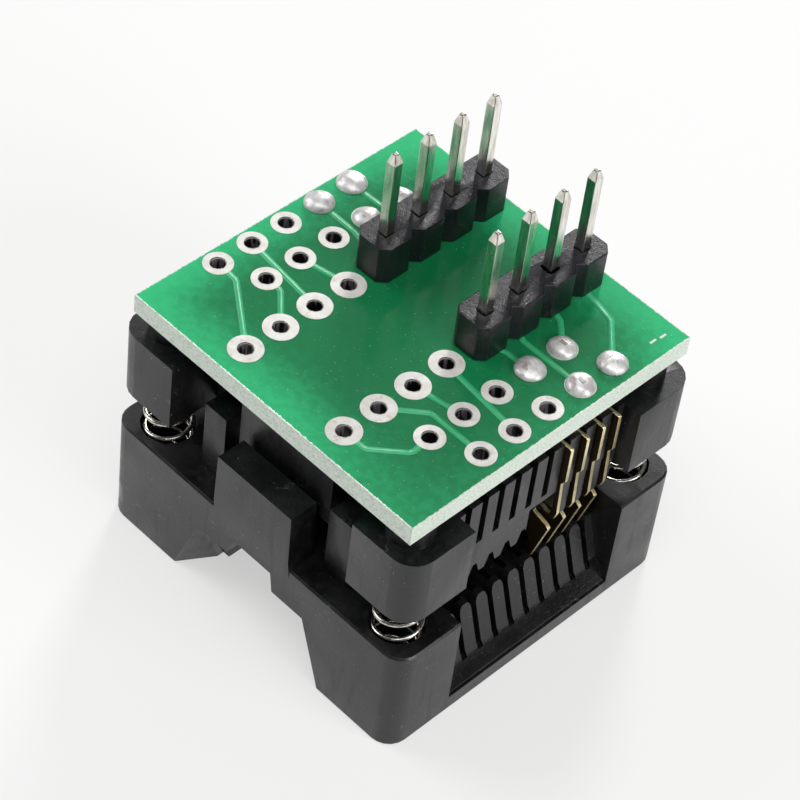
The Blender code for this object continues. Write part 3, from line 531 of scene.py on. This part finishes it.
# %% Hole places
PLUG_PITCH, PLUG_ROW, PLUG_PLACES = 2.54, 3.81, 8
SOCKET_PITCH, INNER_ROW, OUTER_ROW, SOCKET_PLACES = 1.27, 7.0, 9.54, 10
OPEN_PLUG_PLACES, OPEN_SOCKET_PLACES = 4, 6


def plug_hole(side, place):
    return Vector((side * PLUG_ROW, (place - (PLUG_PLACES - 1) / 2) * PLUG_PITCH))


def socket_hole(side, place):
    inner = (place % 2 == 0) == (side > 0)
    row = INNER_ROW if inner else OUTER_ROW
    return Vector((side * row, (place - (SOCKET_PLACES - 1) / 2) * SOCKET_PITCH))


def both_sides(hole, places):
    return [hole(side, place) for side in (-1, 1) for place in places]


open_plug_holes = both_sides(plug_hole, range(OPEN_PLUG_PLACES))
open_socket_holes = both_sides(socket_hole, range(OPEN_SOCKET_PLACES))
soldered_holes = both_sides(socket_hole, range(OPEN_SOCKET_PLACES, SOCKET_PLACES))
print("open plug holes:", len(open_plug_holes))
print("open socket holes:", len(open_socket_holes), "and soldered ones:", len(soldered_holes))

# %% [markdown]
# ## Geometry Nodes in short
# The next pieces repeat or follow a path, which is what Geometry Nodes is for. A tree gets named
# inputs for its sizes, ends in Realize Instances and Set Material, and runs once on a mesh of
# points. The result is then taken as a plain mesh. A second small class writes the trees, in the
# same manner as the materials.


# %% A tree writer
class Tree:
    """A Geometry Nodes tree with named number inputs."""

    def __init__(self, name, **sizes):
        self.group = bpy.data.node_groups.new(name, "GeometryNodeTree")
        face = self.group.interface
        face.new_socket("Geometry", in_out="INPUT", socket_type="NodeSocketGeometry")
        face.new_socket("Geometry", in_out="OUTPUT", socket_type="NodeSocketGeometry")
        self.sizes = sizes
        self.keys = {}
        for label in sizes:
            made = face.new_socket(label, in_out="INPUT", socket_type="NodeSocketFloat")
            self.keys[label] = made.identifier
        self.start = self.group.nodes.new("NodeGroupInput")
        self.finish = self.group.nodes.new("NodeGroupOutput")

    def size(self, label):
        return self.start.outputs[label]

    def node(self, kind, options=None, values=None, out=0):
        made = self.group.nodes.new(kind)
        for option, value in (options or {}).items():
            setattr(made, option, value)
        for socket, value in (values or {}).items():
            if isinstance(value, bpy.types.NodeSocket):
                self.group.links.new(value, made.inputs[socket])
            else:
                made.inputs[socket].default_value = value
        return made.outputs[out]

    def math(self, operation, *values):
        return self.node("ShaderNodeMath", {"operation": operation}, dict(enumerate(values)))

    def vector(self, x=0.0, y=0.0, z=0.0):
        return self.node("ShaderNodeCombineXYZ", {}, {"X": x, "Y": y, "Z": z})

    def scaled(self, vector, factor):
        values = {0: vector, "Scale": factor}
        return self.node("ShaderNodeVectorMath", {"operation": "SCALE"}, values)

    def join(self, shapes):
        joined = self.node("GeometryNodeJoinGeometry")
        for shape in shapes:
            self.group.links.new(shape, joined.node.inputs[0])
        return joined

    def circle(self, radius, points):
        values = {"Resolution": points, "Radius": radius}
        return self.node("GeometryNodeCurvePrimitiveCircle", {}, values)

    def sweep(self, path, section):
        values = {"Curve": path, "Profile Curve": section, "Fill Caps": True}
        return self.node("GeometryNodeCurveToMesh", {}, values)

    def on_points(self, shape, **more):
        """The shape once on every point of the mesh that the tree runs on."""
        values = {"Points": self.start.outputs[0], "Instance": shape, **more}
        return self.node("GeometryNodeInstanceOnPoints", {}, values)

    def run(self, name, mesh, shape, material):
        """Ends the tree, runs it on a mesh and returns the result as a plain mesh."""
        real = self.node("GeometryNodeRealizeInstances", {}, {0: shape})
        dressed = self.node("GeometryNodeSetMaterial", {}, {"Geometry": real, "Material": material})
        self.group.links.new(dressed, self.finish.inputs[0])
        holder = bpy.data.objects.new(name + "_points", mesh)
        bpy.context.scene.collection.objects.link(holder)
        modifier = holder.modifiers.new(name, "NODES")
        modifier.node_group = self.group
        for label, value in self.sizes.items():
            modifier[self.keys[label]] = value
        graph = bpy.context.evaluated_depsgraph_get()
        made = bpy.data.meshes.new_from_object(holder.evaluated_get(graph))
        holder.modifiers.remove(modifier)
        bpy.data.objects.remove(holder)
        made.name = name
        print(name, "has", len(made.polygons), "faces")
        return made


def point_mesh(name, places, level):
    mesh = bpy.data.meshes.new(name)
    mesh.from_pydata([(p.x * MM, p.y * MM, level * MM) for p in places], [], [])
    return mesh


# %% [markdown]
# ## Plated holes
# Each hole is lined with tinned copper, which spreads into a ring on both faces of the board. One
# eyelet is two flat rings and a sleeve. Filling an outer and an inner circle together gives a ring
# with its hole, and extruding the ring gives it thickness. The eyelet is then set on every point.


# %% Eyelets
BOARD_THICKNESS = 1.3
HOLE_RADIUS, PLATING, COPPER = 0.43, 0.05, 0.035
PLUG_PAD, SOCKET_PAD = 2.02, 1.76
RING_POINTS = 40


def ring(tree, outer, inner, height):
    circles = [tree.circle(radius, RING_POINTS) for radius in (outer, inner)]
    flat = tree.node("GeometryNodeFillCurve", {}, {0: tree.join(circles)})
    values = {0: flat, "Offset Scale": height, "Individual": False}
    return flat, tree.node("GeometryNodeExtrudeMesh", {}, values)


def eyelets(name, places, pad):
    tree = Tree(
        name,
        pad=pad / 2 * MM,
        hole=HOLE_RADIUS * MM,
        copper=COPPER * MM,
        sleeve=PLATING * MM,
        board=BOARD_THICKNESS * MM,
    )
    pad_radius, hole, copper = tree.size("pad"), tree.size("hole"), tree.size("copper")
    deep = tree.math("ADD", tree.size("board"), tree.math("MULTIPLY", copper, 2.0))
    sleeve_radius = tree.math("ADD", hole, tree.size("sleeve"))
    drop = tree.math("MULTIPLY", tree.math("ADD", tree.size("board"), copper), -1.0)
    layers = []
    for outer, height, level in (
        (pad_radius, copper, 0.0),
        (pad_radius, copper, drop),
        (sleeve_radius, deep, drop),
    ):
        flat, wall = ring(tree, outer, hole, height)
        base = tree.node("GeometryNodeFlipFaces", {}, {0: flat})
        values = {0: tree.join((wall, base)), "Translation": tree.vector(z=level)}
        layers.append(tree.node("GeometryNodeTransform", {}, values))
    placed = tree.on_points(tree.join(layers))
    return tree.run(name, point_mesh(name, places, BOARD_TOP), placed, pad_tin)


plug_pads = eyelets("plug_hole_eyelets", open_plug_holes, PLUG_PAD)
socket_pads = eyelets("socket_hole_eyelets", open_socket_holes + soldered_holes, SOCKET_PAD)
add_piece("plug_hole_eyelets", plug_pads, fixed_body, pad_tin, "board")
add_piece("socket_hole_eyelets", socket_pads, fixed_body, pad_tin, "board")

# %% [markdown]
# ## Copper tracks
# Tracks run under the lacquer and show as paler, slightly raised bands. Each one is a line of two
# to four corners. Geometry Nodes turns the lines into curves and sweeps one narrow, flat profile
# along all of them.

# %% Track routes
LEFT_TURNS = {
    0: [(-7.98, -5.8)],
    1: [(-5.87, -4.43)],
    4: [(-6.6, 1.88)],
    6: [(-7.29, 4.49)],
    7: [(-5.9, 6.85)],
}
RIGHT_TURNS = {
    0: [(7.17, -7.19), (5.4, -8.92)],
    1: [(5.84, -4.42)],
    4: [(5.23, 1.87)],
    5: [(5.24, 3.17)],
    6: [(5.43, 5.91)],
    7: [(7.21, 8.11), (5.97, 8.39)],
}
routes = []
for side, turns in ((-1, LEFT_TURNS), (1, RIGHT_TURNS)):
    for place in range(PLUG_PLACES):
        skipped = 0 if place < OPEN_PLUG_PLACES else SOCKET_PLACES - PLUG_PLACES
        corners = [Vector(turn) for turn in turns.get(place, [])]
        routes.append([socket_hole(side, place + skipped), *corners, plug_hole(side, place)])
print(len(routes), "tracks, one from each plug pin")


# %% Sweep the tracks
TRACK_WIDTH, TRACK_HEIGHT, TRACK_BEND = 0.38, 0.018, 0.35
HOLE_CLEARANCE = 0.62


def trimmed(line):
    """The line without a bit at each end, which would lie across a hole."""
    start = (line[1] - line[0]).normalized() * HOLE_CLEARANCE
    end = (line[-2] - line[-1]).normalized() * HOLE_CLEARANCE
    return [line[0] + start, *line[1:-1], line[-1] + end]


def line_mesh(name, lines, level):
    points, edges = [], []
    for line in lines:
        edges += [(len(points) + i, len(points) + i + 1) for i in range(len(line) - 1)]
        points += [(p.x * MM, p.y * MM, level * MM) for p in line]
    mesh = bpy.data.meshes.new(name)
    mesh.from_pydata(points, edges, [])
    return mesh


def bands(name, lines):
    tree = Tree(name, width=TRACK_WIDTH * MM, height=TRACK_HEIGHT * MM, bend=TRACK_BEND * MM)
    curves = tree.node("GeometryNodeMeshToCurve", {}, {0: tree.start.outputs[0]})
    values = {"Curve": curves, "Radius": tree.size("bend"), "Limit Radius": True}
    bent = tree.node("GeometryNodeFilletCurve", {}, values)
    upright = tree.node("GeometryNodeSetCurveNormal", {"mode": "Z_UP"}, {0: bent})
    both_halves = tree.math("MULTIPLY", tree.size("height"), 2.0)
    values = {"Width": tree.size("width"), "Height": both_halves}
    section = tree.node("GeometryNodeCurvePrimitiveQuadrilateral", {}, values)
    swept = tree.sweep(upright, section)
    return tree.run(name, line_mesh(name, lines, BOARD_TOP), swept, track_lacquer)


tracks = bands("copper_tracks", [trimmed(route) for route in routes])
add_piece("copper_tracks", tracks, fixed_body, track_lacquer, "board")

# %% [markdown]
# ## Solder on the contacts' tails
# Molten solder pulls itself into a low dome, but each dome freezes a little differently, with a
# ripple or a dent. One half ball is set on every soldered hole, with its own size from a fixed
# seed, and then noise in space moves its skin, so that no two are alike. The rim stays on the pad.


# %% Solder domes
DOME_RADIUS, DOME_HEIGHT, DOME_LIFT = 0.9, 0.5, 0.02
SMALLEST, LARGEST, SIZE_SEED = 0.92, 1.06, 4
RIPPLE, RIPPLES_PER_METRE = 0.15, 800.0
STILL_RIM, FREE_PER_METRE = 0.03, 6000.0


def domes(name, places):
    tree = Tree(name, radius=DOME_RADIUS * MM, height=DOME_HEIGHT * MM, ripple=RIPPLE * MM)
    ball = tree.node("GeometryNodeMeshUVSphere", {}, {"Segments": 40, "Rings": 24, "Radius": 1.0})
    place = tree.node("GeometryNodeInputPosition")
    split = tree.node("ShaderNodeSeparateXYZ", {}, {0: place})
    x, y, z = (split.node.outputs[letter] for letter in "XYZ")
    flat = tree.vector(x, y, tree.math("MAXIMUM", z, 0.0))
    half = tree.node("GeometryNodeSetPosition", {}, {"Geometry": ball, "Position": flat})
    size = tree.vector(tree.size("radius"), tree.size("radius"), tree.size("height"))
    values = {"Min": SMALLEST, "Max": LARGEST, "Seed": SIZE_SEED}
    spread = tree.node("FunctionNodeRandomValue", {"data_type": "FLOAT"}, values, out=1)
    placed = tree.on_points(half, Scale=tree.scaled(size, spread))
    real = tree.node("GeometryNodeRealizeInstances", {}, {0: placed})
    values = {"Scale": RIPPLES_PER_METRE, "Detail": 1.0, "Roughness": 0.5}
    noise = tree.node("ShaderNodeTexNoise", {}, values)
    above = tree.math("SUBTRACT", z, BOARD_TOP * MM + STILL_RIM * MM)
    risen = tree.math("MULTIPLY", tree.math("MAXIMUM", above, 0.0), FREE_PER_METRE)
    free = tree.math("MINIMUM", risen, 1.0)
    swing = tree.math("MULTIPLY", tree.math("SUBTRACT", noise, 0.5), tree.size("ripple"))
    amount = tree.math("MULTIPLY", tree.math("MULTIPLY", swing, 2.0), free)
    push = tree.scaled(tree.node("GeometryNodeInputNormal"), amount)
    rippled = tree.node("GeometryNodeSetPosition", {}, {"Geometry": real, "Offset": push})
    smooth = tree.node("GeometryNodeSetShadeSmooth", {}, {"Geometry": rippled})
    return tree.run(name, point_mesh(name, places, BOARD_TOP + DOME_LIFT), smooth, solder)


TAIL_JOINTS = [f"tail_solder_{side}_{number}" for side in SIDES for number in range(1, 5)]
joints = domes("solder_domes", soldered_holes)
add_piece("solder_domes", joints, fixed_body, solder, "solder", *TAIL_JOINTS)

# %% [markdown]
# ## Corner springs
# A compression spring is a helix whose end turns lie closed. A straight line of points carries a
# number that runs from nothing to the count of turns, and that number gives each point its angle
# and its level. A round section swept along it is the wire. The last spring is turned a quarter
# round.

# %% Wind the springs
SPRING_LOW, SPRING_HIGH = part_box("spring_front_left")
SPRING_LENGTH = SPRING_HIGH.z - SPRING_LOW.z
TURNS, WIRE, COIL_OUTSIDE = 10.5, 0.28, 2.95
CLOSED_PITCH, LAST_TURNED = 1.15, 90
BEADS_PER_TURN, WIRE_SIDES = 36, 12
SPRINGS = [f"spring_{end}_{side}" for end in ("front", "back") for side in SIDES]


def spring_centre(node):
    low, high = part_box(node)
    return Vector(((low.x + high.x) / 2, (low.y + high.y) / 2)) / MM


def coils(name, centres):
    tree = Tree(
        name,
        radius=(COIL_OUTSIDE - WIRE) / 2 * MM,
        wire=WIRE / 2 * MM,
        turns=TURNS,
        rise=SPRING_LENGTH - WIRE * MM,
        closed=WIRE * CLOSED_PITCH * MM,
        turned=math.radians(LAST_TURNED),
    )
    radius, turns, closed = tree.size("radius"), tree.size("turns"), tree.size("closed")
    line = tree.node("GeometryNodeCurvePrimitiveLine")
    values = {"Curve": line, "Count": int(TURNS * BEADS_PER_TURN) + 1}
    beads = tree.node("GeometryNodeResampleCurve", {}, values)
    share = tree.node("GeometryNodeSplineParameter")
    turn = tree.math("MULTIPLY", share, turns)
    angle = tree.math("MULTIPLY", turn, math.tau)
    x = tree.math("MULTIPLY", tree.math("COSINE", angle), radius)
    y = tree.math("MULTIPLY", tree.math("SINE", angle), radius)
    first = tree.math("MINIMUM", turn, 1.0)
    over = tree.math("SUBTRACT", turn, tree.math("SUBTRACT", turns, 1.0))
    last = tree.math("MAXIMUM", over, 0.0)
    ends = tree.math("MULTIPLY", tree.math("ADD", first, last), closed)
    middle = tree.math("SUBTRACT", tree.math("SUBTRACT", turn, first), last)
    open_rise = tree.math("SUBTRACT", tree.size("rise"), tree.math("MULTIPLY", closed, 2.0))
    per_turn = tree.math("DIVIDE", open_rise, tree.math("SUBTRACT", turns, 2.0))
    z = tree.math("ADD", ends, tree.math("MULTIPLY", middle, per_turn))
    values = {"Geometry": beads, "Position": tree.vector(x, y, z)}
    helix = tree.node("GeometryNodeSetPosition", {}, values)
    rod = tree.sweep(helix, tree.circle(tree.size("wire"), WIRE_SIDES))
    smooth = tree.node("GeometryNodeSetShadeSmooth", {}, {"Geometry": rod})
    index = tree.node("GeometryNodeInputIndex")
    is_last = tree.math("GREATER_THAN", index, len(centres) - 1.5)
    turned = tree.vector(z=tree.math("MULTIPLY", is_last, tree.size("turned")))
    placed = tree.on_points(smooth, Rotation=turned)
    foot = SPRING_LOW.z / MM + WIRE / 2
    return tree.run(name, point_mesh(name, centres, foot), placed, spring_wire)


springs = coils("corner_springs", [spring_centre(node) for node in SPRINGS])
spring_piece = add_piece("corner_springs", springs, fixed_body, spring_wire, "spring", *SPRINGS)
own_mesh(spring_piece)

# %% [markdown]
# ## A plain studio
# The adapter lies on a small, flat, pale sheet under an even, dim sky. Five soft lamps light it:
# one each at the window, the side, the top and the back, and a large, weak panel that level faces
# mirror to the camera. To the camera and in reflections the sheet is partly its own light, so it
# looks white without more light on the adapter, while the rest of its colour still takes the
# shadow.


# %% Floor and sky
FLOOR_HALF = 0.16
SHEET_COLOUR, SHEET_GLOW = (0.93, 0.93, 0.925, 1), (0.985, 0.985, 0.98, 1)
FLOOR_GLOW, MIRRORED_GLOW = 0.55, 0.55
SKY_STRENGTH, SKY_SEEN = 0.08, 0.95


def studio_floor():
    corners = [(x * FLOOR_HALF, y * FLOOR_HALF, 0) for x, y in ((-1, -1), (1, -1), (1, 1), (-1, 1))]
    mesh = bpy.data.meshes.new("floor_sheet")
    mesh.from_pydata(corners, [], [(0, 1, 2, 3)])
    floor = bpy.data.objects.new("floor_sheet", mesh)
    bpy.context.scene.collection.objects.link(floor)
    sheet = Finish("pale_floor", Base_Color=SHEET_COLOUR, Roughness=0.6, Specular_IOR_Level=0.2)
    seen = sheet.node("LightPath", {}, {}, out="Is Camera Ray")
    mirrored = Wire(sheet, seen.socket.node.outputs["Is Glossy Ray"])
    own_light = seen * FLOOR_GLOW + mirrored * MIRRORED_GLOW
    lit = Wire(sheet, sheet.shader.outputs[0])
    glow = sheet.node("Emission", {}, {"Color": SHEET_GLOW, "Strength": 1.0})
    both = sheet.node("MixShader", {}, {0: own_light, 1: lit, 2: glow})
    surface = sheet.tree.nodes["Material Output"].inputs["Surface"]
    sheet.tree.links.new(both.socket, surface)
    mesh.materials.append(sheet.material)


def dim_sky():
    """A dim, even sky, which looks bright only to the camera itself."""
    world = bpy.data.worlds.new("dim_sky")
    world.use_nodes = True
    tree = world.node_tree
    path = tree.nodes.new("ShaderNodeLightPath")
    level = tree.nodes.new("ShaderNodeMapRange")
    tree.links.new(path.outputs["Is Camera Ray"], level.inputs["Value"])
    level.inputs["To Min"].default_value = SKY_STRENGTH
    level.inputs["To Max"].default_value = SKY_SEEN
    background = tree.nodes["Background"]
    background.inputs["Color"].default_value = (1.0, 1.0, 1.0, 1)
    tree.links.new(level.outputs[0], background.inputs["Strength"])
    bpy.context.scene.world = world


studio_floor()
dim_sky()
print("floor sheet and sky")


# %% Lamps
AIM = Vector((0, 0, 0.01))
LAMPS = {
    "window_lamp": ((-0.40, -0.18, 0.30), 0.30, 1.0),
    "side_lamp": ((0.36, 0.05, 0.20), 0.24, 0.75),
    "top_lamp": ((0.12, -0.12, 0.46), 0.34, 0.9),
    "back_lamp": ((-0.24, 0.40, 0.220), 0.14, 1.3),
    "sky_panel": ((-0.262, 0.314, 0.439), 0.45, 0.16),
}


def soft_lamp(name, place, size, power):
    data = bpy.data.lights.new(name, "AREA")
    data.shape, data.size, data.energy = "DISK", size, power
    lamp = bpy.data.objects.new(name, data)
    lamp.location = place
    lamp.rotation_euler = (AIM - Vector(place)).to_track_quat("-Z", "Y").to_euler()
    bpy.context.scene.collection.objects.link(lamp)


for name, (place, size, power) in LAMPS.items():
    soft_lamp(name, place, size, power)
bpy.context.scene.view_settings.view_transform = "Standard"
print("lamps:", len(LAMPS))
